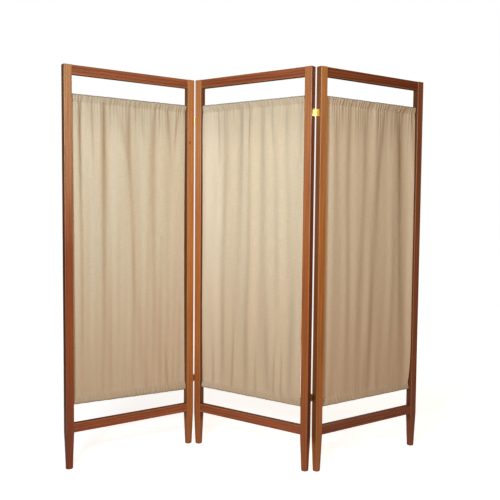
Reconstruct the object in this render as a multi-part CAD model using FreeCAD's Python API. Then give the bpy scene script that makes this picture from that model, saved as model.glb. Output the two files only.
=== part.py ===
import FreeCAD, Part
import math
import os

# Three-panel folding screen: hardwood frames, gathered curtains on rods, brass butt hinges.
# Millimetres. +Z is up, +X runs along the standing screen and -Y is its front.
# The origin lies on the floor under the middle of the middle panel.
# Each panel is drawn in its own frame: u across the panel, v through it (+v to the back), z up.

# ---- Panels and how they stand ----
PANEL_WIDTH = 600.0            # over the two posts
PANEL_HEIGHT = 1650.0          # floor to post top
STANDING_ANGLE = 35.0          # degrees that each panel is turned out of the X axis

# ---- Posts ----
POST_WIDTH = 34.0              # along u
POST_DEPTH = 30.0              # along v
POST_EDGE_RADIUS = 2.5         # eased long edges
FOOT_DIAMETER = 30.0           # the post thins from its square section to this round foot
FOOT_CHAMFER = 1.5
TAPER_BELOW_RAIL = 2.0         # the taper starts this far under the lower rail

# ---- Rails ----
RAIL_HEIGHT = 38.0
RAIL_THICKNESS = 24.0
RAIL_EDGE_RADIUS = 2.0
LOWER_RAIL_BOTTOM = 150.0      # floor to the underside of the lower rail

# ---- Dowels that join rails to posts ----
DOWEL_DIAMETER = 8.0
DOWEL_DEPTH = 18.0             # length in the post, and the same in the rail
DOWEL_SPACING = 18.0           # between the two dowels of a joint
DOWEL_END_SPACE = 1.0          # glue space past each end of a dowel

# ---- Curtain rods ----
ROD_DIAMETER = 12.0
UPPER_ROD_DROP = 120.0         # post top to the upper rod's centre
LOWER_ROD_HEIGHT = 273.0       # floor to the lower rod's centre
ROD_SEAT = 7.5                 # length of rod held in each post
SOCKET_SHALLOW = 8.0           # socket depth in one post
SOCKET_DEEP = 20.0             # socket depth in the other, so that the rod can be slid out

# ---- Curtains ----
CLOTH_THICKNESS = 1.0
CURTAIN_SIDE_GAP = 4.0         # between the curtain's free edge and the post
FOLD_COUNT = 20                # gathered folds across the width
FOLD_DEPTH = 11.0              # front to back, at the middle of the cloth

# ---- Hinges ----
HINGE_HEIGHT = 30.0
HINGE_FROM_TOP = 182.0         # post top to the upper hinge's centre
HINGE_FROM_FLOOR = 305.0       # floor to the lower hinge's centre
LEAF_REACH = 22.0              # from the hinge axis to the leaf's far edge
LEAF_THICKNESS = 1.5
KNUCKLE_DIAMETER = 6.0
KNUCKLE_COUNT = 5
PIN_DIAMETER = 3.0
AXIS_FROM_END_FACE = 0.8       # half of the gap between two panels that stand in line
AXIS_FROM_FRAME_FACE = 1.5     # half of the gap between two panels that are folded flat

# ---- Hinge screws ----
SCREW_DIAMETER = 3.0
SCREW_HEAD_DIAMETER = 5.6
SCREW_LENGTH = 16.0
SCREW_POINT = 3.0
SCREW_SLOT = 0.7
SCREW_SLOT_DEPTH = 0.6
SCREW_FROM_LEAF_EDGE = 8.0     # leaf's far edge to the screw line
SCREW_SPACING = 16.0

# ---- Clearances ----
GLUE_CLEARANCE = 0.05          # round dowels, rods in their sockets and screws
RUNNING_CLEARANCE = 0.05       # pin in its knuckles, on the radius
KNUCKLE_GAP = 0.15             # between neighbouring knuckles
SOFT_CLEARANCE = 0.3           # round the rods inside the curtain
LETTING_CLEARANCE = 0.1        # leaf in its pocket
BARREL_CLEARANCE = 0.4         # wood relief round the knuckles

# ---- Worked out from the above ----
OPENING = PANEL_WIDTH - 2 * POST_WIDTH
UPPER_ROD_Z = PANEL_HEIGHT - UPPER_ROD_DROP
UPPER_HINGE_Z = PANEL_HEIGHT - HINGE_FROM_TOP
UPPER_RAIL_BOTTOM = PANEL_HEIGHT - RAIL_HEIGHT
TAPER_TOP = LOWER_RAIL_BOTTOM - TAPER_BELOW_RAIL
CASING_HALF = ROD_DIAMETER / 2 + SOFT_CLEARANCE + CLOTH_THICKNESS
AXIS_U = PANEL_WIDTH / 2 + AXIS_FROM_END_FACE
AXIS_V = POST_DEPTH / 2 + AXIS_FROM_FRAME_FACE
KNUCKLE_RADIUS = KNUCKLE_DIAMETER / 2

UP = FreeCAD.Vector(0, 0, 1)
ALONG = FreeCAD.Vector(1, 0, 0)


def box(u0, u1, v0, v1, z0, z1):
    """Upright box between two corners."""
    return Part.makeBox(u1 - u0, v1 - v0, z1 - z0, FreeCAD.Vector(u0, v0, z0))


def upright_cylinder(radius, u, v, z0, z1):
    return Part.makeCylinder(radius, z1 - z0, FreeCAD.Vector(u, v, z0), UP)


def cross_cylinder(radius, u0, u1, v, z):
    """Cylinder that lies along u."""
    return Part.makeCylinder(radius, u1 - u0, FreeCAD.Vector(u0, v, z), ALONG)


def rounded_outline(half_u, half_v, radius, z):
    """Rectangle with round corners as four lines and four arcs, starting on the +u side."""
    edges = []
    for quarter in range(4):
        turn = FreeCAD.Rotation(UP, 90 * quarter)
        a, b = (half_u, half_v) if quarter % 2 == 0 else (half_v, half_u)
        start, corner = FreeCAD.Vector(a, radius - b, z), FreeCAD.Vector(a, b - radius, z)
        middle = FreeCAD.Vector(a - radius + radius * math.cos(math.pi / 4),
                                b - radius + radius * math.sin(math.pi / 4), z)
        end = FreeCAD.Vector(a - radius, b, z)
        start, corner, middle, end = [turn.multVec(p) for p in (start, corner, middle, end)]
        edges.append(Part.LineSegment(start, corner).toShape())
        edges.append(Part.Arc(corner, middle, end).toShape())
    return Part.Wire(edges)


def round_outline(radius, half_u, half_v, edge_radius, z):
    """Circle as eight arcs that face the lines and arcs of rounded_outline."""
    stops = []
    for quarter in range(4):
        a, b = (half_u, half_v) if quarter % 2 == 0 else (half_v, half_u)
        stops.append(90 * quarter - math.degrees(math.atan2(b - edge_radius, a)))
        stops.append(90 * quarter + math.degrees(math.atan2(b - edge_radius, a)))
    stops.append(stops[0] + 360)
    edges = []
    for first, last in zip(stops, stops[1:]):
        angles = [math.radians(x) for x in (first, (first + last) / 2, last)]
        edges.append(Part.Arc(*[FreeCAD.Vector(radius * math.cos(x), radius * math.sin(x), z)
                                for x in angles]).toShape())
    return Part.Wire(edges)


# ---- Posts: square above the lower rail, thinning to a round foot ----
def post_blank(centre_u):
    half_u, half_v = POST_WIDTH / 2, POST_DEPTH / 2
    foot_radius = FOOT_DIAMETER / 2
    square = Part.Face(rounded_outline(half_u, half_v, POST_EDGE_RADIUS, TAPER_TOP))
    upper = square.extrude(UP * (PANEL_HEIGHT - TAPER_TOP))
    top_edges = [e for e in upper.Edges if e.BoundBox.ZMin > PANEL_HEIGHT - 0.01]
    upper = upper.makeChamfer(min(RAIL_EDGE_RADIUS, POST_EDGE_RADIUS) / 2, top_edges)
    leg = Part.makeLoft([round_outline(foot_radius, half_u, half_v, POST_EDGE_RADIUS, FOOT_CHAMFER),
                         rounded_outline(half_u, half_v, POST_EDGE_RADIUS, TAPER_TOP)], True, True)
    foot = Part.makeCone(foot_radius - FOOT_CHAMFER, foot_radius, FOOT_CHAMFER)
    blank = upper.fuse([leg, foot])
    blank.translate(FreeCAD.Vector(centre_u, 0, 0))
    return blank


def post(side, socket_depth, axis_v):
    """Post on side -1 (left) or +1 (right), with axis_v its hinge axis, or None for a free edge."""
    inner = side * OPENING / 2
    shape = post_blank(side * (PANEL_WIDTH - POST_WIDTH) / 2)
    cuts = []
    for z in (UPPER_ROD_Z, LOWER_ROD_HEIGHT):
        span = sorted((inner, inner + side * socket_depth))
        cuts.append(cross_cylinder(ROD_DIAMETER / 2 + GLUE_CLEARANCE, *span, 0, z))
    for z in dowel_heights():
        span = sorted((inner, inner + side * (DOWEL_DEPTH + DOWEL_END_SPACE)))
        cuts.append(cross_cylinder(DOWEL_DIAMETER / 2 + GLUE_CLEARANCE, *span, 0, z))
    if axis_v is not None:
        for z in (UPPER_HINGE_Z, HINGE_FROM_FLOOR):
            cuts += hinge_pocket(side, axis_v, z)
    return shape.cut(cuts)


# ---- Rails and their dowels ----
def rail(bottom):
    half = RAIL_THICKNESS / 2
    blank = box(-OPENING / 2, OPENING / 2, -half, half, bottom, bottom + RAIL_HEIGHT)
    long_edges = [e for e in blank.Edges if e.Length > OPENING - 0.01 and e.BoundBox.XLength > OPENING - 0.01]
    blank = blank.makeFillet(RAIL_EDGE_RADIUS, long_edges)
    cuts = []
    for side in (-1, 1):
        for z in dowel_heights():
            if bottom < z < bottom + RAIL_HEIGHT:
                span = sorted((side * OPENING / 2, side * (OPENING / 2 - DOWEL_DEPTH - DOWEL_END_SPACE)))
                cuts.append(cross_cylinder(DOWEL_DIAMETER / 2 + GLUE_CLEARANCE, *span, 0, z))
    return blank.cut(cuts)


def dowel_heights():
    middles = (LOWER_RAIL_BOTTOM + RAIL_HEIGHT / 2, UPPER_RAIL_BOTTOM + RAIL_HEIGHT / 2)
    return [z + step * DOWEL_SPACING / 2 for z in middles for step in (-1, 1)]


def dowels():
    pins = []
    for side in (-1, 1):
        joint = side * OPENING / 2
        for z in dowel_heights():
            pins.append(cross_cylinder(DOWEL_DIAMETER / 2, joint - DOWEL_DEPTH, joint + DOWEL_DEPTH, 0, z))
    return Part.Compound(pins)


# ---- Rods and curtains ----
def rod(z):
    reach = OPENING / 2 + ROD_SEAT
    return cross_cylinder(ROD_DIAMETER / 2, -reach, reach, 0, z)


def folded_sheet(half_width, z0, z1):
    """Gathered cloth: arcs that bend to the front and to the back in turn, each half a fold wide."""
    arcs = 2 * FOLD_COUNT
    chord = 2 * half_width / arcs
    rise = FOLD_DEPTH / 2
    radius = chord * chord / (8 * rise) + rise / 2
    spread = math.asin(chord / 2 / radius)

    def border(offset):
        edges = []
        for index in range(arcs):
            facing = 1 if index % 2 == 0 else -1
            r = radius + facing * offset
            u, v = -half_width + (index + 0.5) * chord, facing * (rise - radius)
            points = [FreeCAD.Vector(u + r * math.sin(t), v + facing * r * math.cos(t), z0)
                      for t in (-spread, 0, spread)]
            edges.append(Part.Arc(*points).toShape())
        return edges

    front, back = border(-CLOTH_THICKNESS / 2), border(CLOTH_THICKNESS / 2)
    ends = [Part.LineSegment(f.Vertexes[i].Point, b.Vertexes[i].Point).toShape()
            for f, b, i in ((front[0], back[0], 0), (front[-1], back[-1], 1))]
    outline = Part.Wire(Part.__sortEdges__(front + back + ends))
    return Part.Face(outline).extrude(UP * (z1 - z0))


def curtain():
    """Folded sheet between two casings, with a bore through each casing for its rod."""
    half_width = OPENING / 2 - CURTAIN_SIDE_GAP
    sheet = folded_sheet(half_width, LOWER_ROD_HEIGHT + CASING_HALF, UPPER_ROD_Z - CASING_HALF)
    shape = sheet
    for z in (LOWER_ROD_HEIGHT, UPPER_ROD_Z):
        casing = box(-half_width, half_width, -CASING_HALF, CASING_HALF, z - CASING_HALF, z + CASING_HALF)
        bore = cross_cylinder(ROD_DIAMETER / 2 + SOFT_CLEARANCE, -half_width, half_width, 0, z)
        shape = shape.fuse(casing.cut(bore))
    return shape


# ---- Hinges: two leaves let into the end faces, five knuckles and a pin ----
def knuckle_spans(z, owner):
    """Heights of the knuckles that belong to leaf 0 (the outer ones) or leaf 1."""
    step = HINGE_HEIGHT / KNUCKLE_COUNT
    spans = []
    for index in range(owner, KNUCKLE_COUNT, 2):
        low = z - HINGE_HEIGHT / 2 + index * step
        spans.append((low + (KNUCKLE_GAP / 2 if index > 0 else 0),
                      low + step - (KNUCKLE_GAP / 2 if index < KNUCKLE_COUNT - 1 else 0)))
    return spans


def screw_places(axis_v, z):
    inward = -math.copysign(1, axis_v)
    v = axis_v + inward * (LEAF_REACH - SCREW_FROM_LEAF_EDGE)
    return [(v, z + step * SCREW_SPACING / 2) for step in (-1, 1)]


def hinge_pocket(side, axis_v, z):
    """What is cut out of a post: the leaf's pocket, room for the knuckles and pilot holes."""
    inward = -math.copysign(1, axis_v)
    face = side * PANEL_WIDTH / 2
    half = HINGE_HEIGHT / 2 + LETTING_CLEARANCE
    u = sorted((face + side * 1.0, face - side * (LEAF_THICKNESS + LETTING_CLEARANCE)))
    v = sorted((axis_v, axis_v + inward * (LEAF_REACH + LETTING_CLEARANCE)))
    cuts = [box(*u, *v, z - half, z + half),
            upright_cylinder(KNUCKLE_RADIUS + BARREL_CLEARANCE, side * AXIS_U, axis_v, z - half, z + half)]
    depth = SCREW_LENGTH + GLUE_CLEARANCE
    for screw_v, screw_z in screw_places(axis_v, z):
        span = sorted((face, face - side * depth))
        cuts.append(cross_cylinder(SCREW_DIAMETER / 2 + GLUE_CLEARANCE, *span, screw_v, screw_z))
    return cuts


def screw_body(side, v, z, grow):
    """Countersunk screw from the end face inwards, grown by a clearance when it is used as a cut."""
    face = side * PANEL_WIDTH / 2
    inward = FreeCAD.Vector(-side, 0, 0)
    start = FreeCAD.Vector(face, v, z)
    head_depth = (SCREW_HEAD_DIAMETER - SCREW_DIAMETER) / 2
    head = Part.makeCone(SCREW_HEAD_DIAMETER / 2 + grow, SCREW_DIAMETER / 2 + grow, head_depth, start, inward)
    shank_end = SCREW_LENGTH - SCREW_POINT
    shank = Part.makeCylinder(SCREW_DIAMETER / 2 + grow, shank_end - head_depth,
                              start + inward * head_depth, inward)
    point = Part.makeCone(SCREW_DIAMETER / 2 + grow, SCREW_DIAMETER / 8, SCREW_POINT,
                          start + inward * shank_end, inward)
    return head.fuse([shank, point])


def screws(side, axis_v, z):
    face = side * PANEL_WIDTH / 2
    solids = []
    for v, screw_z in screw_places(axis_v, z):
        slot_u = sorted((face, face - side * SCREW_SLOT_DEPTH))
        half = SCREW_HEAD_DIAMETER / 2
        slot = box(*slot_u, v - half, v + half, screw_z - SCREW_SLOT / 2, screw_z + SCREW_SLOT / 2)
        solids.append(screw_body(side, v, screw_z, 0).cut(slot))
    return Part.Compound(solids)


def leaf(side, axis_v, z, owner):
    """Plate and knuckles of one leaf. Owner 0 has the outer knuckles."""
    inward = -math.copysign(1, axis_v)
    face = side * PANEL_WIDTH / 2
    low, high = z - HINGE_HEIGHT / 2, z + HINGE_HEIGHT / 2
    u = sorted((face, face - side * LEAF_THICKNESS))
    v = sorted((axis_v, axis_v + inward * LEAF_REACH))
    shape = box(*u, *v, low, high)
    for z0, z1 in knuckle_spans(z, 1 - owner):
        room = upright_cylinder(KNUCKLE_RADIUS + BARREL_CLEARANCE, side * AXIS_U, axis_v,
                                z0 - KNUCKLE_GAP, z1 + KNUCKLE_GAP)
        shape = shape.cut(room)
    for z0, z1 in knuckle_spans(z, owner):
        shape = shape.fuse(upright_cylinder(KNUCKLE_RADIUS, side * AXIS_U, axis_v, z0, z1))
    cuts = [upright_cylinder(PIN_DIAMETER / 2 + RUNNING_CLEARANCE, side * AXIS_U, axis_v, low, high)]
    cuts += [screw_body(side, v, screw_z, GLUE_CLEARANCE) for v, screw_z in screw_places(axis_v, z)]
    return shape.cut(cuts)


def hinge_pin(side, axis_v, z):
    half = HINGE_HEIGHT / 2
    return upright_cylinder(PIN_DIAMETER / 2, side * AXIS_U, axis_v, z - half, z + half)


# ---- Standing the panels up ----
# The left hinges fold the front faces together, so their axis is in front of the frame.
# The right hinges fold the back faces together, so theirs is behind it.
def middle_place():
    return FreeCAD.Placement(FreeCAD.Vector(0, 0, 0), FreeCAD.Rotation(UP, -STANDING_ANGLE))


def side_place(side):
    """Puts a side panel's hinge axis on the middle panel's, turned the other way."""
    turn = FreeCAD.Rotation(UP, STANDING_ANGLE)
    shared = middle_place().multVec(FreeCAD.Vector(side * AXIS_U, side * AXIS_V, 0))
    own = turn.multVec(FreeCAD.Vector(-side * AXIS_U, side * AXIS_V, 0))
    return FreeCAD.Placement(shared - own, turn)


PLACES = {"left": side_place(-1), "middle": middle_place(), "right": side_place(1)}

# Hinge axis of each panel's left and right post. The middle panel's two are on opposite faces.
AXES = {"left": {1: -AXIS_V}, "middle": {-1: -AXIS_V, 1: AXIS_V}, "right": {-1: AXIS_V}}

os.makedirs("parts", exist_ok=True)


def save(node, shape, panel):
    placed = shape.copy()
    placed.Placement = PLACES[panel].multiply(placed.Placement)
    placed.exportStep("parts/" + node + ".step")
    solids = len(placed.Solids)
    print(f"{node:34s} {solids:3d} solids  valid {placed.isValid()}  {placed.Volume / 1000:9.2f} cm3")


for panel, axes in AXES.items():
    save(panel + "_panel_left_post", post(-1, SOCKET_SHALLOW, axes.get(-1)), panel)
    save(panel + "_panel_right_post", post(1, SOCKET_DEEP, axes.get(1)), panel)
    save(panel + "_panel_top_rail", rail(UPPER_RAIL_BOTTOM), panel)
    save(panel + "_panel_bottom_rail", rail(LOWER_RAIL_BOTTOM), panel)
    save(panel + "_panel_dowels", dowels(), panel)
    save(panel + "_panel_upper_rod", rod(UPPER_ROD_Z), panel)
    save(panel + "_panel_lower_rod", rod(LOWER_ROD_HEIGHT), panel)
    save(panel + "_panel_curtain", curtain(), panel)

for side, name in ((-1, "left"), (1, "right")):
    for z, level in ((UPPER_HINGE_Z, "upper"), (HINGE_FROM_FLOOR, "lower")):
        hinge = name + "_" + level + "_hinge"
        axis_v = side * AXIS_V
        save(hinge + "_middle_leaf", leaf(side, axis_v, z, 0), "middle")
        save(hinge + "_middle_screws", screws(side, axis_v, z), "middle")
        save(hinge + "_pin", hinge_pin(side, axis_v, z), "middle")
        save(hinge + "_side_leaf", leaf(-side, axis_v, z, 1), name)
        save(hinge + "_side_screws", screws(-side, axis_v, z), name)

shared = PLACES["middle"].multVec(FreeCAD.Vector(-AXIS_U, -AXIS_V, 0))
print(f"left hinge axis x {shared.x:.4f} y {shared.y:.4f}")
shared = PLACES["middle"].multVec(FreeCAD.Vector(AXIS_U, AXIS_V, 0))
print(f"right hinge axis x {shared.x:.4f} y {shared.y:.4f}")
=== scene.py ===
import math

import bpy
import numpy as np
from mathutils import Matrix, Vector


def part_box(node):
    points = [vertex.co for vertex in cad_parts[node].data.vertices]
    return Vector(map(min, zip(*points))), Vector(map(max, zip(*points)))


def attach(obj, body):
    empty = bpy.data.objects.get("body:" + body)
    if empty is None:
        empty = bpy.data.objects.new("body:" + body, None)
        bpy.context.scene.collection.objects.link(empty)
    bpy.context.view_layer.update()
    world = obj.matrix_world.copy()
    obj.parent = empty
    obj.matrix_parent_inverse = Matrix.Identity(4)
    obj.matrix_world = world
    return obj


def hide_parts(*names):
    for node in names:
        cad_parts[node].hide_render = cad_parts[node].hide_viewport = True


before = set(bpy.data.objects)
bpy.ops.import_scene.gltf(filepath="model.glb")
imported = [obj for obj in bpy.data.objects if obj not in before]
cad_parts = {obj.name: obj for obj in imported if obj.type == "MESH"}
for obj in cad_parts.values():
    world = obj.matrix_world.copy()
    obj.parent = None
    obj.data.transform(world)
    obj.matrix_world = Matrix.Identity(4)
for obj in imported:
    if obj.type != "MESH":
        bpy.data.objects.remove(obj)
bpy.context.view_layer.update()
scene = bpy.context.scene
scene.view_settings.view_transform = "Standard"

# ---------------------------------------------------------------- Camera
# The open screen as someone standing in front of it sees it, from three metres away, looking a
# little down. The camera is rolled by half a degree, as one that is levelled by eye is.
CAMERA_PLACE = (-0.003, -2.951, 1.084)
CAMERA_TILT = math.radians(3.51)
CAMERA_ROLL = math.radians(0.514)
CAMERA_LENS_MM = 49.5

camera = bpy.data.objects.new("camera", bpy.data.cameras.new("camera"))
camera.data.lens = CAMERA_LENS_MM
camera.matrix_world = (
    Matrix.Translation(CAMERA_PLACE)
    @ Matrix.Rotation(math.pi / 2 - CAMERA_TILT, 4, "X")
    @ Matrix.Rotation(CAMERA_ROLL, 4, "Z")
)
scene.collection.objects.link(camera)
scene.camera = camera


# ---------------------------------------------------------------- Posts
# Six teak posts, planed square with eased edges and turned round at the foot, then oiled.
# Each panel has a left and a right one. They carry the rails, the rods and the hinges.
POST_WIDTH = 0.034
POST_DEPTH = 0.030


def panel_frame(panel):
    """Centre of a panel on the floor, the angle it is turned by and its length between posts.

    The line runs from the centre of the left post's box to the centre of the right post's.
    """
    ends = []
    for side in ("left", "right"):
        low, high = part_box(f"{panel}_panel_{side}_post")
        ends.append(((low + high) / 2).xy)
    along = ends[1] - ends[0]
    return (ends[0] + ends[1]) / 2, math.atan2(along.y, along.x), along.length


def colour(code):
    """sRGB hex to linear colour and alpha: a straight start, then a power of 2.4."""
    parts = [int(code[i:i + 2], 16) / 255 for i in (1, 3, 5)]
    return [c / 12.92 if c <= 0.04045 else ((c + 0.055) / 1.055) ** 2.4 for c in parts] + [1]


def add(tree, kind, inputs=(), **settings):
    """Adds a shader node with its settings. inputs maps a socket to a value or an output to link.

    In a MapRange, 0 is the value, 1 and 2 the range it comes from and 3 and 4 the range it goes
    to. In a Mix, 0 is the share and 6 and 7 are the colours.
    """
    made = tree.nodes.new("ShaderNode" + kind)
    for key, value in settings.items():
        setattr(made, key, value)
    for key, value in dict(inputs).items():
        if isinstance(value, bpy.types.NodeSocket):
            tree.links.new(value, made.inputs[key])
        else:
            made.inputs[key].default_value = value
    return made


def material(name):
    """An empty material with its output, ready for a surface."""
    made = bpy.data.materials.new(name)
    made.use_nodes = True
    made.node_tree.nodes.clear()
    return made, made.node_tree, add(made.node_tree, "OutputMaterial")


# Sizes in the wood, in metres. Bends, strands, pores and clouds say how many fit in a metre,
# twice across the grain and once along it.
GROWTH_LAYER = 0.0055
LAYER_WAVER = 0.022        # how far the layers bend to and fro
PITH = (0.055, 0.035, 0)   # middle of a piece to the pith of its tree
BOARD_SHIFT = (0.011, 0.007, 0.37)  # one piece's figure to the next one's
SLOW_BENDS = (14, 14, 2.4)
STRANDS = (420, 420, 7)    # about 2 mm wide
PORES = (1400, 1400, 80)   # 0.7 mm wide and 12 mm long
CLOUDS = (60, 60, 3.2)     # slow changes of tone
KNOT_CORE, KNOT_RIM = 0.0014, 0.0058
# Colours laid on the teak: the paler top is a painted highlight, the redder foot and the darker
# narrow sides are painted shade, and the pores, worn edges and knot are the wood's own.
TEAK_STAINS_AND_PAINTED_LIGHT = {"painted_light": "#D39254", "foot": "#8E4224", "pore": "#3A1D10",
               "narrow side": "#512510", "worn edge": "#CA7F43", "knot": "#4A2110"}


def teak(name, place, turn, half_size, lengthways, tone, seed, figure, top_light_share=0.0, knot=None):
    """Oiled teak. place and turn lay the pattern on the piece, with x across the panel and z up.

    Growth layers are shells round a pith that lies beside the piece: the distance from the pith,
    bent by slow noise, is wrapped into one layer after another. Strands are noise drawn out along
    the grain. figure says how strongly both show. The upper part is painted paler by its own share,
    a painted highlight from above, and the foot is painted redder and darker, a painted shade near
    the floor. The eased edges, where hands rub, are paler.
    """
    made, tree, output = material(name)
    shift = Matrix.Rotation(-turn, 3, "Z") @ Vector(place)
    local = add(tree, "Mapping", {0: add(tree, "TexCoord").outputs["Object"],
                                  "Rotation": (0, 0, -turn), "Location": -shift}).outputs[0]
    grain_turn = (0, 0, 0) if lengthways == "z" else (0, math.pi / 2, 0)
    along = add(tree, "Mapping", {0: local, "Rotation": grain_turn,
                                  "Location": [seed * s for s in BOARD_SHIFT]}).outputs[0]

    # growth layers, each pale in its early wood and dark in its late wood
    slow = add(tree, "Mapping", {0: along, "Scale": SLOW_BENDS}).outputs[0]
    waver = add(tree, "TexNoise", {"Vector": slow, "Scale": 1, "Detail": 2}).outputs[0]
    pith = add(tree, "Mapping", {0: along, "Location": PITH, "Scale": (1, 1, 0)}).outputs[0]
    away = add(tree, "VectorMath", {0: pith}, operation="LENGTH").outputs["Value"]
    bent = add(tree, "Math", {0: waver, 1: LAYER_WAVER, 2: away},
               operation="MULTIPLY_ADD").outputs[0]
    layer = add(tree, "Math", {0: bent, 1: 1 / GROWTH_LAYER}, operation="MULTIPLY").outputs[0]
    layer = add(tree, "Math", {0: layer, 1: 1.0}, operation="PINGPONG").outputs[0]
    late_wood = add(tree, "MapRange", {0: layer, 1: 0.45, 2: 1.0},
                    interpolation_type="SMOOTHSTEP").outputs[0]

    strand_at = add(tree, "Mapping", {0: along, "Scale": STRANDS}).outputs[0]
    strand = add(tree, "TexNoise", {"Vector": strand_at, "Scale": 1, "Detail": 3,
                                    "Roughness": 0.6}).outputs[0]
    pore_at = add(tree, "Mapping", {0: along, "Scale": PORES}).outputs[0]
    pore = add(tree, "TexNoise", {"Vector": pore_at, "Scale": 1, "Detail": 1}).outputs[0]
    pore = add(tree, "MapRange", {0: pore, 1: 0.62, 2: 0.72}).outputs[0]
    cloud_at = add(tree, "Mapping", {0: along, "Scale": CLOUDS}).outputs[0]
    cloud = add(tree, "TexNoise", {"Vector": cloud_at, "Scale": 1, "Detail": 3}).outputs[0]

    pale, mid, dark = [colour(code) for code in tone]
    stains_and_painted_light = {part: colour(code) for part, code in TEAK_STAINS_AND_PAINTED_LIGHT.items()}
    body = add(tree, "MapRange", {0: cloud, 1: 0.3, 2: 0.7}).outputs[0]
    body = add(tree, "Mix", {0: body, 6: mid, 7: pale}, data_type="RGBA").outputs[2]
    # painted light: the upper part is painted paler, a painted highlight from above, and the foot
    # is painted redder and darker, a painted shade near the floor
    if top_light_share:
        height = add(tree, "SeparateXYZ", {0: local}).outputs[2]
        painted_light = add(tree, "Math", {0: cloud, 1: 0.5, 2: height},
                       operation="MULTIPLY_ADD").outputs[0]
        painted_light = add(tree, "MapRange", {0: painted_light, 1: 0.2, 2: 1.0, 3: 0.0, 4: top_light_share},
                       interpolation_type="SMOOTHSTEP").outputs[0]
        body = add(tree, "Mix", {0: painted_light, 6: body, 7: stains_and_painted_light["painted_light"]},
                   data_type="RGBA").outputs[2]
        foot = add(tree, "MapRange", {0: height, 1: -0.35, 2: -0.80, 3: 0.0, 4: 0.30}).outputs[0]
        body = add(tree, "Mix", {0: foot, 6: body, 7: stains_and_painted_light["foot"]}, data_type="RGBA").outputs[2]
    ringed = add(tree, "Math", {0: late_wood, 1: figure}, operation="MULTIPLY").outputs[0]
    body = add(tree, "Mix", {0: ringed, 6: body, 7: dark}, data_type="RGBA").outputs[2]
    streak = add(tree, "MapRange", {0: strand, 1: 0.35, 2: 0.68,
                                    3: 0.0, 4: 0.25 + 0.5 * figure}).outputs[0]
    body = add(tree, "Mix", {0: streak, 6: body, 7: dark}, data_type="RGBA").outputs[2]
    pored = add(tree, "Math", {0: pore, 1: 0.45}, operation="MULTIPLY").outputs[0]
    body = add(tree, "Mix", {0: pored, 6: body, 7: stains_and_painted_light["pore"]}, data_type="RGBA").outputs[2]

    # painted shade: the narrow sides of a post, and the top and bottom of a rail, are painted
    # darker than its front and back
    inward = [1 / half for half in half_size]
    share = add(tree, "VectorMath", {0: local, 1: inward}, operation="MULTIPLY").outputs[0]
    share = add(tree, "VectorMath", {0: share}, operation="ABSOLUTE").outputs[0]
    faces = add(tree, "SeparateXYZ", {0: share})
    across = faces.outputs[0] if lengthways == "z" else faces.outputs[2]
    narrow = add(tree, "MapRange", {0: across, 1: 0.95, 2: 0.99, 3: 0.0, 4: 0.62},
                 interpolation_type="SMOOTHSTEP").outputs[0]
    body = add(tree, "Mix", {0: narrow, 6: body, 7: stains_and_painted_light["narrow side"]},
               data_type="RGBA").outputs[2]

    # worn edges: how near a point is to both faces that meet at an edge
    edge = add(tree, "Math", {0: across, 1: faces.outputs[1]}, operation="MULTIPLY").outputs[0]
    edge = add(tree, "MapRange", {0: edge, 1: 0.80, 2: 0.93, 3: 0.0, 4: 0.3},
               interpolation_type="SMOOTHSTEP").outputs[0]
    body = add(tree, "Mix", {0: edge, 6: body, 7: stains_and_painted_light["worn edge"]}, data_type="RGBA").outputs[2]

    if knot is not None:
        off = add(tree, "VectorMath", {0: local, 1: knot}, operation="SUBTRACT").outputs[0]
        off = add(tree, "VectorMath", {0: off, 1: (1, 1, 0.7)}, operation="MULTIPLY").outputs[0]
        off = add(tree, "VectorMath", {0: off}, operation="LENGTH").outputs["Value"]
        spot = add(tree, "MapRange", {0: off, 1: KNOT_CORE, 2: KNOT_RIM, 3: 0.85, 4: 0.0},
                   interpolation_type="SMOOTHSTEP").outputs[0]
        body = add(tree, "Mix", {0: spot, 6: body, 7: stains_and_painted_light["knot"]}, data_type="RGBA").outputs[2]

    gloss = add(tree, "MapRange", {0: strand, 1: 0.3, 2: 0.7, 3: 0.34, 4: 0.5}).outputs[0]
    relief = add(tree, "Math", {0: pore, 1: -0.6, 2: strand}, operation="MULTIPLY_ADD").outputs[0]
    bump = add(tree, "Bump", {"Height": relief, "Strength": 0.35, "Distance": 0.00035}).outputs[0]
    surface = add(tree, "BsdfPrincipled", {"Base Color": body, "Roughness": gloss,
                                           "Normal": bump, "IOR": 1.5})
    tree.links.new(surface.outputs[0], output.inputs["Surface"])
    return made


def dress(node, made):
    """Gives a CAD node its finish."""
    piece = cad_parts[node]
    piece.data.materials.clear()
    piece.data.materials.append(made)


# Pale, middle and dark colour of each post. Boards of teak differ, and these came from several.
# Each post also has its own share of painted highlight at the top.
POST_TONES = {
    ("left", "left"): ("#A84E1E", "#914019", "#61270F"),
    ("left", "right"): ("#CF7930", "#BB6925", "#8A461A"),
    ("middle", "left"): ("#CA732E", "#B56023", "#844118"),
    ("middle", "right"): ("#B96020", "#A3501A", "#733411"),
    ("right", "left"): ("#CD7730", "#B56425", "#824217"),
    ("right", "right"): ("#A75B2E", "#8D4720", "#5E2911"),
}
POST_TOP_LIGHT = {("left", "left"): 0.75, ("left", "right"): 0.3, ("middle", "left"): 0.45,
              ("middle", "right"): 0.3, ("right", "left"): 0.35, ("right", "right"): 0.10}
POST_FIGURE = 0.28
# The left panel's right post has a small dark knot on its front: its place across the front,
# a little left of the middle, and its height above the floor.
KNOTTED_POST = ("left", "right")
KNOT_ASIDE, KNOT_HEIGHT = -0.006, 1.372

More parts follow.
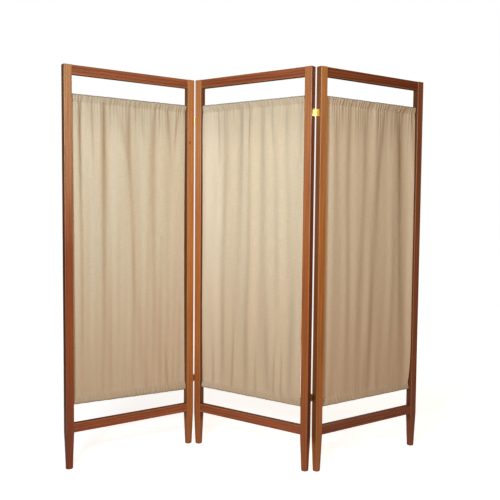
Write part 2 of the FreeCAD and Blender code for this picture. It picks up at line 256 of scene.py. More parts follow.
for index, ((panel, side), tone) in enumerate(POST_TONES.items()):
    low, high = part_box(f"{panel}_panel_{side}_post")
    middle = (low + high) / 2
    turn = panel_frame(panel)[1]
    knot = None
    if (panel, side) == KNOTTED_POST:
        knot = (KNOT_ASIDE, -POST_DEPTH / 2, KNOT_HEIGHT - middle.z)
    wood = teak(f"oiled_teak_{panel}_{side}_post", middle, turn,
                (POST_WIDTH / 2, POST_DEPTH / 2, 1), "z", tone, index + 1, POST_FIGURE,
                POST_TOP_LIGHT[panel, side], knot)
    dress(f"{panel}_panel_{side}_post", wood)


# ---------------------------------------------------------------- Rails
# A top and a bottom rail in each panel, planed teak with eased edges, dowelled between the posts.
# Their grain runs across the panel. Most are a deeper colour than the posts, partly the wood's own
# and partly painted shade, and the right panel's are deepest.
RAIL_HEIGHT = 0.038
RAIL_THICKNESS = 0.024
RAIL_FIGURE = 0.6
FIRST_RAIL = 9             # the posts have used the figures of boards 1 to 6
RAIL_TONES = {
    ("left", "top"): ("#B65F2B", "#9A491F", "#63280F"),
    ("middle", "top"): ("#B45C2A", "#95451D", "#61270F"),
    ("right", "top"): ("#A15026", "#833D1B", "#52210D"),
    ("left", "bottom"): ("#C3622B", "#A34D21", "#713013"),
    ("middle", "bottom"): ("#C3622B", "#A34D21", "#713013"),
    ("right", "bottom"): ("#AB5627", "#8E411E", "#612811"),
}

for index, ((panel, level), tone) in enumerate(RAIL_TONES.items()):
    low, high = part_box(f"{panel}_panel_{level}_rail")
    turn = panel_frame(panel)[1]
    wood = teak(f"oiled_teak_{panel}_{level}_rail", (low + high) / 2, turn,
                (1, RAIL_THICKNESS / 2, RAIL_HEIGHT / 2), "x", tone, index + FIRST_RAIL,
                RAIL_FIGURE)
    dress(f"{panel}_panel_{level}_rail", wood)


# ---------------------------------------------------------------- Dowels
# Fluted beech dowels glued into the posts and rails, two at each rail end. They are hidden
# in the finished frame, and show only when a panel is taken apart.
PANELS = ("left", "middle", "right")
FLECKS = (240, 1000, 1000)  # in a metre: 4 mm long along the grain and 1 mm wide


def beech(name, turn, roughness, pale, fleck_tone):
    """Turned beech: pale, with short brown flecks, which are noise drawn out along the grain."""
    made, tree, output = material(name)
    local = add(tree, "Mapping", {0: add(tree, "TexCoord").outputs["Object"],
                                  "Rotation": (0, 0, -turn)}).outputs[0]
    fleck_at = add(tree, "Mapping", {0: local, "Scale": FLECKS}).outputs[0]
    fleck = add(tree, "TexNoise", {"Vector": fleck_at, "Scale": 1, "Detail": 2}).outputs[0]
    fleck = add(tree, "MapRange", {0: fleck, 1: 0.55, 2: 0.75, 3: 0.0, 4: 0.7}).outputs[0]
    body = add(tree, "Mix", {0: fleck, 6: colour(pale), 7: colour(fleck_tone)},
               data_type="RGBA").outputs[2]
    bump = add(tree, "Bump", {"Height": fleck, "Strength": 0.2, "Distance": 0.0002}).outputs[0]
    surface = add(tree, "BsdfPrincipled", {"Base Color": body, "Normal": bump,
                                           "Roughness": roughness})
    tree.links.new(surface.outputs[0], output.inputs["Surface"])
    return made


for panel in PANELS:
    wood = beech(f"turned_beech_{panel}_dowels", panel_frame(panel)[1], 0.6, "#C79A6B", "#8A5C38")
    dress(f"{panel}_panel_dowels", wood)


# ---------------------------------------------------------------- Curtain rods
# Oiled beech rods, 12 mm thick, pushed into sockets in the posts. One post's sockets are
# deeper, so that a rod can be slid into them and out again when the curtain is washed.
# The rods' tone is darker than the dowels', partly oiled beech and partly painted shade where their
# ends show beside the cloth.
for panel in PANELS:
    for level in ("upper", "lower"):
        wood = beech(f"oiled_rod_{panel}_{level}", panel_frame(panel)[1], 0.42,
                     "#8F5F3A", "#5E3820")
        dress(f"{panel}_panel_{level}_rod", wood)


# ---------------------------------------------------------------- Curtains
# Plain woven natural linen, a little wider than the opening and gathered on the rods.
# A casing is sewn at each end for its rod, and the free side edges have a narrow hem.
CLOTH = 0.0006             # thickness of the linen
CASING_RADIUS = 0.0070     # from the rod's centre to the middle of the cloth
CASING_DEPTH = 0.031       # edge of the cloth to the seam beside the rod
SEAM_ALLOWANCE = 0.007     # cloth that turns back past the seam
CASING_LENGTH = 0.079      # cloth from its cut end round the rod to the seam
FOLD_OVER_ROD = 0.037      # along the cloth from a seam to the far side of its rod
LAYER_GAP = 0.0010         # between the two layers at a seam
EDGE_CLEAR = 0.0035        # cloth to post at the rods
FLAT_WIDTH = 0.600         # cut width of the cloth between its side hems
HEM_WIDTH = 0.012
HEM_ENDS = (0.012, 0.988)  # where a hem starts and ends, as shares of the way up between seams
STITCH_PITCH, STITCH_LENGTH, STITCH_WIDTH = 0.004, 0.003, 0.0008
STITCH_PROUD = 0.0002      # middle of a stitch in front of the cloth's face
COLUMNS, DROP_ROWS, CASING_ROWS = 280, 100, 9
HEM_COLUMNS, HEM_ROWS = 7, 90

# Long folds of each curtain: place at the top, middle and bottom (-1 to 1 across), then the step
# in mm at the top, middle and bottom, and the width of the step in mm.
FOLDS = {
    "left": [(-0.87, -0.86, -0.86, 13.0, 6.0, 2.0, 10), (-0.50, -0.47, -0.44, 15.5, 7.5, 4.2, 17),
             (-0.02, 0.01, 0.26, 12.5, 6.0, 3.4, 15), (0.39, 0.40, 0.52, 8.0, 4.5, 5.5, 20)],
    "middle": [(-0.52, -0.55, -0.60, 11.0, 6.0, 14.0, 22),
               (-0.20, -0.15, -0.13, 14.0, 6.0, 18.0, 17),
               (0.20, 0.27, 0.34, 9.0, 5.0, 21.0, 20), (0.84, 0.80, 0.78, 3.0, 6.0, 16.0, 16)],
    "right": [(-0.77, -0.77, -0.80, 3.2, 2.4, 1.2, 16), (-0.50, -0.50, -0.46, 3.8, 2.8, 1.4, 18),
              (-0.16, -0.20, -0.30, 5.4, 3.8, 2.0, 17), (0.25, 0.12, 0.04, 8.0, 5.0, 4.0, 20),
              (0.62, 0.70, 0.84, 11.0, 6.4, 2.4, 20)],
}
# Short tucks that run from a seam: which seam, place, how far the tip leans, step in mm,
# length in mm and width in mm.
TUCKS = {
    "left": [("upper", -0.69, 0.02, 7.5, 190, 10), ("upper", -0.25, 0.16, 7.5, 200, 18),
             ("upper", 0.19, 0.02, 6.5, 110, 10), ("upper", 0.66, 0.05, 7.0, 180, 12),
             ("upper", 0.86, -0.06, 5.5, 140, 9), ("upper", 0.52, 0.0, 3.4, 60, 7),
             ("upper", -0.36, 0.0, 3.4, 70, 7), ("upper", 0.08, 0.0, 3.0, 60, 6),
             ("lower", 0.66, -0.03, 6.0, 130, 11), ("lower", 0.78, 0.0, 3.5, 90, 8),
             ("lower", -0.72, 0.0, 2.5, 110, 11), ("lower", -0.08, 0.02, 2.6, 120, 11)],
    "middle": [("upper", -0.69, 0.02, 10.5, 190, 11), ("upper", -0.03, 0.0, 11.0, 140, 9),
               ("upper", 0.67, -0.02, 6.5, 160, 12), ("upper", 0.38, 0.04, 6.5, 120, 10),
               ("upper", -0.36, 0.0, 5.0, 90, 8), ("upper", 0.93, 0.0, 4.5, 160, 10),
               ("lower", -0.38, 0.02, 13.0, 190, 11), ("lower", 0.10, 0.0, 11.0, 150, 10),
               ("lower", 0.48, 0.02, 12.0, 170, 10), ("lower", 0.63, 0.0, 10.0, 140, 9),
               ("lower", -0.78, 0.0, 7.0, 130, 10)],
    "right": [("upper", 0.93, 0.05, 5.5, 210, 9), ("upper", 0.44, 0.0, 4.0, 130, 11),
              ("upper", 0.12, -0.02, 3.0, 100, 9), ("upper", -0.34, 0.0, 2.4, 80, 8),
              ("upper", -0.64, 0.0, 2.0, 70, 8), ("upper", 0.53, 0.0, 2.6, 60, 7),
              ("lower", 0.40, 0.0, 2.6, 130, 12), ("lower", -0.10, 0.02, 2.6, 170, 12),
              ("lower", 0.62, 0.0, 2.0, 100, 10), ("lower", 0.22, -0.02, 2.2, 110, 10)],
}
# Slow swells: place, height in mm and width in mm.
SWELLS = {"left": [(-1.0, -4.0, 22), (0.75, 2.5, 60), (1.0, 4.0, 20)],
          "middle": [(-1.0, 14.0, 70), (0.66, 2.5, 40)],
          "right": [(-1.0, -6.0, 30), (1.02, 14.0, 24)]}
# Height of the soft streams between the folds.
STREAM_HEIGHT = {"left": 0.00042, "middle": 0.00085, "right": 0.00030}
# Which way a long fold steps back: 1 to the right, -1 to the left.
FOLD_SIDE = {"left": 1, "middle": -1, "right": 1}
# How far the free edges draw in between the rods, left and right, in mm.
EDGE_DRAW = {"left": (1.0, 5.0), "middle": (3.0, 0.0), "right": (1.0, 1.0)}
# How far the right end of each lower casing is pushed in along its rod, in mm.
CORNER_PUSHED = {"left": 0.0, "middle": 0.0, "right": 9.0}
# How far the right end of each lower casing's loop hangs below its rod, in mm.
CASING_SAG = {"left": 13.0, "middle": 0.0, "right": 0.0}
# Gathers at the upper seam, looser ones further down, and those at the lower seam: the distance
# from one to the next, how far from the seam they die out, and the draw that bends them.
UPPER_GATHERS, LOOSE_GATHERS, LOWER_GATHERS = 0.0165, 0.027, 0.016
UPPER_FADE, LOOSE_FADE, LOWER_FADE = 0.045, 0.09, 0.03
UPPER_DRAW, LOOSE_DRAW, LOWER_DRAW, WAVE_DRAW = 20, 30, 40, 60
GATHER_DEPTH = 0.0030
RIPPLE_DEPTH = 0.0042      # the gathers that stand out before a rod
RIPPLE_OVER_ROD = 0.3      # what is left of them over and under it, where the cloth is tight
SEAM_PULL = 0.0015         # how far the stitches draw the cloth in
CREASE_ABOVE_SEAM = 0.671  # the cloth was once stored folded across here
CREASE_DEPTH = 0.0005
CLOTH_SET_BACK = 0.0010    # the cloth's middle behind the line between the rods


def gathers(x, pitch, seed):
    """Uneven rounded gathers, 0 to 1.

    A rectified sine, softened where it turns, whose phase is bent by three slow sines. Two more
    slow sines, multiplied, make some groups of gathers deeper than others.
    """
    rng = np.random.default_rng(seed)
    bend = sum(a * np.sin(x * 2 * np.pi / w + p) for a, w, p in
               zip((0.9, 0.7, 0.5), rng.uniform(0.06, 0.20, 3), rng.uniform(0, 2 * np.pi, 3)))
    groups = np.sin(x * 2 * np.pi / 0.071 + rng.uniform(0, 6)) * np.sin(x * 2 * np.pi / 0.19 + 1.3)
    return (0.62 + 0.38 * groups) * np.sqrt(np.sin(np.pi * x / pitch + bend) ** 2 + 0.07)


def between(rise, top, middle, bottom):
    """A curve of rise, 0 at the bottom and 1 at the top, through three values.

    It eases from each to the next: three times the square less twice the cube.
    """
    upper = np.clip(2 * rise - 1, 0, 1)
    lower = np.clip(1 - 2 * rise, 0, 1)
    upper, lower = [t * t * (3 - 2 * t) for t in (upper, lower)]
    return middle + (top - middle) * upper + (bottom - middle) * lower


def step_back(away, width):
    """A fold: the cloth swells forward, steps back over a short width, and slowly comes forward.

    It is a hyperbolic tangent times a bell five widths wide, so it dies out on both sides.
    """
    return -np.tanh(away / width) * np.exp(-(away / (5.0 * width)) ** 2)


def drape(panel, x, rise, half, drop):
    """How far the cloth stands to the front of its middle plane, at x across and rise 0 to 1 up.

    It adds up long folds, short tucks that taper to a point, slow swells, fine gathers that die
    out away from the seams, slow slanting waves, and the crease of an old fold across the cloth.
    """
    seed = PANELS.index(panel)
    side = FOLD_SIDE[panel]
    below = (1 - rise) * drop
    above = rise * drop
    near_seam = np.minimum(above, below)
    forward = np.zeros(np.shape(x * rise))
    for number, (top, middle, bottom, *steps, width) in enumerate(FOLDS[panel]):
        place = (top * rise * (2 * rise - 1) + 4 * middle * rise * (1 - rise)
                 + bottom * (1 - rise) * (1 - 2 * rise))
        place = place * half + 0.003 * np.sin(rise * (5.0 + number) + number * 1.7)
        height = between(rise, *steps) / 1000
        spread = width / 1000 * between(rise, 0.9, 1.1, 1.25)
        forward = forward + height * step_back(side * (x - place), spread)
    for seam, place, lean, step, length, width in TUCKS[panel]:
        off = below if seam == "upper" else above
        along = off * 1000 / length
        fade = np.exp(-along ** 1.6)
        centre = (place + lean * np.minimum(along, 1.5)) * half
        spread = width / 1000 * (1 - 0.35 * np.clip(along, 0, 1))
        forward = forward + step / 1000 * fade * step_back(side * (x - centre), spread)
    for place, height, width in SWELLS[panel]:
        forward = forward + height / 1000 * np.exp(-((x - place * half) / width * 1000) ** 2)
    upper = gathers(x, UPPER_GATHERS, UPPER_DRAW + seed) * np.exp(-below / UPPER_FADE)
    slanted = x + 0.02 * (1 - rise)
    loose = gathers(slanted, LOOSE_GATHERS, LOOSE_DRAW + seed) * np.exp(-below / LOOSE_FADE)
    lower = gathers(x, LOWER_GATHERS, LOWER_DRAW + seed) * np.exp(-above / LOWER_FADE)
    fine = 1.25 * upper + 0.7 * loose + 0.4 * lower
    forward = forward * (1 - 0.35 * np.exp(-near_seam / 0.03))
    forward = forward + GATHER_DEPTH * (fine - 0.5 * np.exp(-below / 0.05))
    forward = forward - SEAM_PULL * np.exp(-near_seam / 0.006)
    rng = np.random.default_rng(WAVE_DRAW + seed)
    waves = 0
    for length, sway, start in zip(rng.uniform(0.032, 0.075, 7), rng.uniform(1.0, 2.6, 7),
                                   rng.uniform(0, 6, 7)):
        drift = 1.3 * np.sin(rise * sway * 2 + start) + rise * (sway - 1.8) * 2
        swell = 0.5 + 0.5 * np.sin(rise * sway * 3 + 2 * start)
        waves = waves + swell * length / 0.045 * np.sin(2 * np.pi * x / length + drift + start)
    crease = (np.exp(-((above - CREASE_ABOVE_SEAM) / 0.004) ** 2)
              * (0.6 + 0.4 * np.sin(x * 31 + seed)))
    return forward + STREAM_HEIGHT[panel] * waves + CREASE_DEPTH * crease - CLOTH_SET_BACK


def edge_to_edge(panel, share, rise, half):
    """x across the curtain for share -1 to 1, in a straight scale from one free edge to the other.

    Both free edges draw in between the rods, by the power 0.6 of a half sine of the rise.
    """
    bow = np.sin(np.pi * np.clip(rise, 0, 1)) ** 0.6
    left, right = [d / 1000 for d in EDGE_DRAW[panel]]
    corner = CORNER_PUSHED[panel] / 1000 * np.exp(-(np.clip(rise, 0, 1) / 0.06) ** 1.3)
    low, high = -half + left * bow, half - right * bow - corner
    return low + (high - low) * (share + 1) / 2


def casing_path(rod_z, seam_z, back_end):
    """One casing in section, from its seam up the front, round the rod and down the back.

    Straight runs touch the circle round the rod, and an arc joins them. Returns the height, the
    distance to the front, the outward direction and how much of the rod's bulge each point has.
    """
    reach = abs(rod_z - seam_z)
    tilt = math.asin(CASING_RADIUS / reach)
    run = math.sqrt(reach ** 2 - CASING_RADIUS ** 2)
    up = 1 if rod_z > seam_z else -1
    rows = np.linspace(0, 1, CASING_ROWS)
    straight = np.column_stack([seam_z + up * run * rows * math.cos(tilt),
                                run * rows * math.sin(tilt)])
    facing = np.tile([-up * math.sin(tilt), math.cos(tilt)], (CASING_ROWS, 1))
    angle = np.linspace(-tilt, math.pi + tilt, 2 * CASING_ROWS)[1:-1]
    arc_facing = np.column_stack([up * np.sin(angle), np.cos(angle)])
    arc = np.array([rod_z, 0]) + CASING_RADIUS * arc_facing
    back, back_facing = straight[::-1] * (1, -1), facing[::-1] * (1, -1)
    back = back - np.array([0, LAYER_GAP]) * (1 - rows[::-1, None])
    points = np.vstack([straight, arc, back])
    normals = np.vstack([facing, arc_facing, back_facing])
    bulge = np.concatenate([rows, np.ones(len(arc)), rows[::-1]])
    tail = np.array([[back_end, -LAYER_GAP]])
    return (np.vstack([points, tail]), np.vstack([normals, [[0, -1]]]), np.append(bulge, 0.0))


def to_world(panel, x, forward, height):
    """Points given across a panel, to its front and up, turned and moved to where it stands."""
    centre, turn, _ = panel_frame(panel)
    c, s = math.cos(turn), math.sin(turn)
    return np.stack([centre.x + c * x + s * forward, centre.y + s * x - c * forward,
                     height + 0 * x], axis=-1)


def grid_mesh(name, points, uv=None):
    """A sheet from a grid of points, rows by columns.

    Each four neighbours make a face, wound so that the sheet's front faces out.
    """
    rows, columns = points.shape[:2]
    ids = np.arange(rows * columns).reshape(rows, columns)
    faces = np.stack([ids[:-1, :-1], ids[:-1, 1:], ids[1:, 1:], ids[1:, :-1]], axis=-1)
    faces = faces.reshape(-1, 4)
    mesh = bpy.data.meshes.new(name)
    mesh.from_pydata(points.reshape(-1, 3), [], faces)
    mesh.shade_smooth()
    if uv is not None:
        layer = mesh.uv_layers.new(name="cloth")
        layer.uv.foreach_set("vector", uv.reshape(-1, 2)[faces.ravel()].ravel())
    made = bpy.data.objects.new(name, mesh)
    scene.collection.objects.link(made)
    return made


def thicken(piece, thickness):
    """Gives a sheet its thickness, half of it to each side of the grid."""
    made = piece.modifiers.new("thickness", "SOLIDIFY")
    made.thickness = thickness
    made.offset = 0


def hang(piece, cloth, panel):
    """Gives a piece of a curtain its cloth, and its place on the panel that carries it."""
    piece.data.materials.append(cloth)
    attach(piece, f"panel_{panel}")


# Real threads of this linen are 0.7 mm apart. They are drawn further apart than that, so that
# the weave can be seen. Slubs and wear are how many fit in a metre, across the cloth and up it.
THREAD_PITCH = 0.0016
WEFT_SLUBS, WARP_SLUBS = (26, 420, 1), (420, 16, 1)
WEAR = (7, 2.2, 1)
STRIP_CORE, STRIP_RIM = 0.035, 0.080  # half widths of the strip painted paler, as painted light
LOWER_SHADE_FROM, LOWER_SHADE_FULL = 0.85, 0.10  # how high up the cloth the painted shade towards the bottom starts, and where it is strongest
SHADE_BELOW_SEAM = 0.20    # how far down from the upper seam the gathers are painted darker, as painted shade
ROD_TURN_SHADE_CORE, ROD_TURN_SHADE_RIM = 0.005, 0.012  # half widths of the painted shade where the cloth turns over a rod
# Colours laid on the linen: the worn tone is the cloth's own, the paler strip colour is painted
# light, and the warmer lower colour and the deep colour are painted shade.
LINEN_STAINS_AND_PAINTED_LIGHT = {"worn": "#D9B489", "painted_light": "#EFD2AB", "lower_shade": "#CFA278", "deep": "#6B5740"}


def linen(name, base, length, painted_light=None):
    """Natural linen, plain woven. The pattern follows the cloth's own map, in metres.

    The weave is a sine across the cloth times a sine up it. Slubs, the thick places in flax yarn,
    are noise drawn out along warp and weft. Both casings, the gathers below the upper one and a
    narrow band where the cloth turns over each rod are painted darker, as painted shade. The lower
    half is painted darker and warmer, as painted shade towards the floor. A paler strip down the
    cloth, at the given distance in metres from its middle, is painted light.
    """
    made, tree, output = material(name)
    cloth = add(tree, "UVMap", uv_map="cloth").outputs[0]
    at = add(tree, "SeparateXYZ", {0: cloth})
    across, up = at.outputs[0], at.outputs[1]
    weave = None
    for direction in (across, up):
        wave = add(tree, "Math", {0: direction, 1: 2 * math.pi / THREAD_PITCH},
                   operation="MULTIPLY").outputs[0]
        wave = add(tree, "Math", {0: wave}, operation="SINE").outputs[0]
        if weave is not None:
            wave = add(tree, "Math", {0: wave, 1: weave}, operation="MULTIPLY").outputs[0]
        weave = wave
    weft_at = add(tree, "Mapping", {0: cloth, "Scale": WEFT_SLUBS}).outputs[0]
    weft = add(tree, "TexNoise", {"Vector": weft_at, "Scale": 1, "Detail": 3,
                                  "Roughness": 0.7}).outputs[0]
    warp_at = add(tree, "Mapping", {0: cloth, "Scale": WARP_SLUBS}).outputs[0]
    warp = add(tree, "TexNoise", {"Vector": warp_at, "Scale": 1, "Detail": 3,
                                  "Roughness": 0.7}).outputs[0]
    slub = add(tree, "Math", {0: weft, 1: warp}, operation="ADD").outputs[0]
    tone = add(tree, "MapRange", {0: slub, 1: 0.75, 2: 1.25}).outputs[0]

    pale, grey = [colour(code) for code in base]
    stains_and_painted_light = {part: colour(code) for part, code in LINEN_STAINS_AND_PAINTED_LIGHT.items()}
    body = add(tree, "Mix", {0: tone, 6: grey, 7: pale}, data_type="RGBA").outputs[2]
    worn_at = add(tree, "Mapping", {0: cloth, "Scale": WEAR}).outputs[0]
    worn = add(tree, "TexNoise", {"Vector": worn_at, "Scale": 1, "Detail": 4}).outputs[0]
    worn = add(tree, "MapRange", {0: worn, 1: 0.35, 2: 0.7, 3: 0.0, 4: 0.35}).outputs[0]
    body = add(tree, "Mix", {0: worn, 6: body, 7: stains_and_painted_light["worn"]}, data_type="RGBA").outputs[2]
    # painted light: a paler strip down the cloth
    if painted_light is not None:
        off = add(tree, "Math", {0: across, 1: painted_light}, operation="SUBTRACT").outputs[0]
        off = add(tree, "Math", {0: off}, operation="ABSOLUTE").outputs[0]
        strip = add(tree, "MapRange", {0: off, 1: STRIP_CORE, 2: STRIP_RIM, 3: 0.32, 4: 0.0},
                    interpolation_type="SMOOTHSTEP").outputs[0]
        body = add(tree, "Mix", {0: strip, 6: body, 7: stains_and_painted_light["painted_light"]},
                   data_type="RGBA").outputs[2]
    # painted shade: the cloth is painted darker and warmer towards the bottom
    lower_shade = add(tree, "MapRange", {0: up, 1: LOWER_SHADE_FROM, 2: LOWER_SHADE_FULL, 3: 0.0, 4: 0.42},
                   interpolation_type="SMOOTHSTEP").outputs[0]
    body = add(tree, "Mix", {0: lower_shade, 6: body, 7: stains_and_painted_light["lower_shade"]},
               data_type="RGBA").outputs[2]

    # painted shade: both casings, the gathers below the upper seam, and a narrow band where the
    # cloth turns over each rod
    upper_seam_at = length - CASING_LENGTH
    upper_casing = add(tree, "MapRange", {0: up, 1: upper_seam_at - 0.001,
                                          2: upper_seam_at + 0.001, 3: 0.0, 4: 0.10}).outputs[0]
    lower_casing = add(tree, "MapRange", {0: up, 1: CASING_LENGTH + 0.002,
                                          2: CASING_LENGTH - 0.012, 3: 0.0, 4: 0.16}).outputs[0]
    deeper = add(tree, "Math", {0: upper_casing, 1: lower_casing}, operation="ADD").outputs[0]
    gathered = add(tree, "MapRange", {0: up, 1: upper_seam_at - SHADE_BELOW_SEAM,
                                      2: upper_seam_at, 3: 0.0, 4: 0.15},
                   interpolation_type="SMOOTHSTEP").outputs[0]
    deeper = add(tree, "Math", {0: deeper, 1: gathered}, operation="ADD").outputs[0]
    for fold in (upper_seam_at + FOLD_OVER_ROD, CASING_LENGTH - FOLD_OVER_ROD):
        off = add(tree, "Math", {0: up, 1: fold}, operation="SUBTRACT").outputs[0]
        off = add(tree, "Math", {0: off}, operation="ABSOLUTE").outputs[0]
        rod_turn_shade = add(tree, "MapRange", {0: off, 1: ROD_TURN_SHADE_CORE, 2: ROD_TURN_SHADE_RIM,
                                       3: 0.42, 4: 0.0}).outputs[0]
        deeper = add(tree, "Math", {0: rod_turn_shade, 1: deeper}, operation="ADD").outputs[0]
    body = add(tree, "Mix", {0: deeper, 6: body, 7: stains_and_painted_light["deep"]}, data_type="RGBA").outputs[2]

    relief = add(tree, "Math", {0: weave, 1: 0.22, 2: slub}, operation="MULTIPLY_ADD").outputs[0]
    bump = add(tree, "Bump", {"Height": relief, "Strength": 0.35, "Distance": 0.0003}).outputs[0]
    surface = add(tree, "BsdfPrincipled", {"Base Color": body, "Normal": bump, "Roughness": 0.92,
                                           "IOR": 1.45, "Specular IOR Level": 0.3,
                                           "Sheen Weight": 0.12, "Sheen Roughness": 0.6,
                                           "Sheen Tint": colour("#EADFC8")})
    tree.links.new(surface.outputs[0], output.inputs["Surface"])
    return made


RINGS, SIDES = 6, 6        # of one stitch
TIP_RADIUS = 0.00002


def stitches(name, starts, ends, width):
    """A row of stitches, each a spindle from its start to its end.

    Its radius is half the width times the square root of a half sine, in rings of six points, and
    a face closes each of its small tips.
    """
    stations = np.linspace(0, 1, RINGS)
    girth = np.sin(np.pi * np.clip(stations, 0.06, 0.94)) ** 0.5 * width / 2
    girth[[0, -1]] = TIP_RADIUS
    along = ends - starts
    direction = along / np.linalg.norm(along, axis=1, keepdims=True)
    side = np.cross(direction, [0.13, 0.21, 0.97])
    side /= np.linalg.norm(side, axis=1, keepdims=True)
    third = np.cross(direction, side)
    turn = np.linspace(0, 2 * np.pi, SIDES, endpoint=False)
    ring = side[:, None] * np.cos(turn)[:, None] + third[:, None] * np.sin(turn)[:, None]
    points = (starts[:, None, None] + along[:, None, None] * stations[:, None, None]
              + ring[:, None] * girth[:, None, None])
    ids = np.arange(len(starts) * RINGS * SIDES).reshape(-1, RINGS, SIDES)
    near, far = ids[:, :-1], ids[:, 1:]
    walls = np.stack([near, np.roll(near, -1, 2), np.roll(far, -1, 2), far], axis=-1).reshape(-1, 4)
    tips = ids[:, 0, ::-1].tolist() + ids[:, -1].tolist()
    mesh = bpy.data.meshes.new(name)
    mesh.from_pydata(points.reshape(-1, 3), [], walls.tolist() + tips)
    mesh.shade_smooth()
    made = bpy.data.objects.new(name, mesh)
    scene.collection.objects.link(made)
    return made


# Pale and greyer colour of each curtain's yarns, and where a paler strip is painted down the cloth,
# as painted light.
CLOTH_TONES = {"left": ("#D9BD95", "#C8AC85"), "middle": ("#DFBE94", "#CEAD83"),
               "right": ("#E1C097", "#D0AF86")}
PAINTED_LIGHT_STRIP = {"middle": -0.240}

for panel in PANELS:
    seed = PANELS.index(panel)
    half = (panel_frame(panel)[2] - POST_WIDTH) / 2 - EDGE_CLEAR
    heights = {}
    for level in ("upper", "lower"):
        low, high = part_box(f"{panel}_panel_{level}_rod")
        heights[level] = (low.z + high.z) / 2
    upper_seam = heights["upper"] + CASING_RADIUS - CASING_DEPTH
    lower_seam = heights["lower"] - CASING_RADIUS + CASING_DEPTH
    drop = upper_seam - lower_seam

    # section of the whole cloth, from the back of the lower casing to the back of the upper one
    top, top_facing, top_bulge = casing_path(heights["upper"], upper_seam,
                                             upper_seam - SEAM_ALLOWANCE)
    foot, foot_facing, foot_bulge = casing_path(heights["lower"], lower_seam,
                                                lower_seam + SEAM_ALLOWANCE)
    middle_z = lower_seam + drop * np.linspace(0, 1, DROP_ROWS + 2)[1:-1]
    path = np.vstack([foot[::-1], np.column_stack([middle_z, 0 * middle_z]), top])
    facing = np.vstack([foot_facing[::-1], np.tile([0.0, 1.0], (DROP_ROWS, 1)), top_facing])
    bulge = np.concatenate([foot_bulge[::-1], np.zeros(DROP_ROWS), top_bulge])[:, None]
    length_map = np.append(0, np.cumsum(np.linalg.norm(np.diff(path, axis=0), axis=1)))
    flat_length = float(length_map[-1])

    share = np.linspace(-1, 1, COLUMNS)[None]
    rise = np.clip((path[:, :1] - lower_seam) / drop, 0, 1)
    x = edge_to_edge(panel, share, rise, half)
    draped = drape(panel, x, rise, half, drop)
    ripple = RIPPLE_DEPTH * gathers(x, UPPER_GATHERS, UPPER_DRAW + seed)
    forward = path[:, 1:] + (1 - bulge) * draped + bulge * ripple * facing[:, 1:]
    height = path[:, :1] + RIPPLE_OVER_ROD * bulge * ripple * facing[:, :1]
    # only the loop under the rod sags
    sag = CASING_SAG[panel] / 1000 * (x / half + 1) / 2
    height = height - (path[:, :1] < heights["lower"]) * sag
    uv = np.stack(np.broadcast_arrays(share * FLAT_WIDTH / 2, length_map[:, None]), axis=-1)
    curtain = grid_mesh(f"{panel}_curtain", to_world(panel, x, forward, height), uv)
    thicken(curtain, CLOTH)
    cloth = linen(f"natural_linen_{panel}", CLOTH_TONES[panel], flat_length, PAINTED_LIGHT_STRIP.get(panel))
    hang(curtain, cloth, panel)
    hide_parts(f"{panel}_panel_curtain")

    # narrow side hems, turned to the back of the free edges, almost from seam to seam
    for edge, label in ((-1, "left"), (1, "right")):
        inward = HEM_WIDTH / half * np.linspace(0, 1, HEM_COLUMNS)[None]
        hem_share = edge * (1 - inward)[:, ::edge]
        hem_rise = np.linspace(*HEM_ENDS, HEM_ROWS)[:, None]
        hem_x = edge_to_edge(panel, hem_share, hem_rise, half)
        hem_forward = drape(panel, hem_x, hem_rise, half, drop) - LAYER_GAP
        hem_points = to_world(panel, hem_x, hem_forward, lower_seam + drop * hem_rise)
        hem_uv = np.stack(np.broadcast_arrays(hem_share * FLAT_WIDTH / 2, hem_rise * drop), axis=-1)
        hem = grid_mesh(f"{panel}_curtain_{label}_hem", hem_points, hem_uv)
        thicken(hem, CLOTH)
        hang(hem, cloth, panel)

    # stitches of the two casing seams, lying on the front of the cloth
    for label, seam_rise in (("upper", 1.0), ("lower", 0.0)):
        at = np.arange(-half + STITCH_PITCH, half - STITCH_PITCH, STITCH_PITCH)
        seam_rises = np.full(len(at), seam_rise)
        ends = []
        for offset in (0.0, STITCH_LENGTH):
            seam_x = edge_to_edge(panel, (at + offset) / half, seam_rises, half)
            seam_forward = drape(panel, seam_x, seam_rises, half, drop) + CLOTH / 2 + STITCH_PROUD
            ends.append(to_world(panel, seam_x, seam_forward, lower_seam + drop * seam_rises))
        row = stitches(f"{panel}_curtain_{label}_seam", ends[0], ends[1], STITCH_WIDTH)
        hang(row, cloth, panel)


# ---------------------------------------------------------------- Hinges
# Small drawn-brass butt hinges, let into the edges of the posts and held by slotted countersunk
# screws. The brass has dulled in clouds, and the lower hinges are painted darker, as painted shade.
SCRATCHES = (3000, 3000, 90)  # in a metre: 0.3 mm apart, and drawn out up the leaf
TARNISH_CLOUDS = 160       # in a metre: about 6 mm across


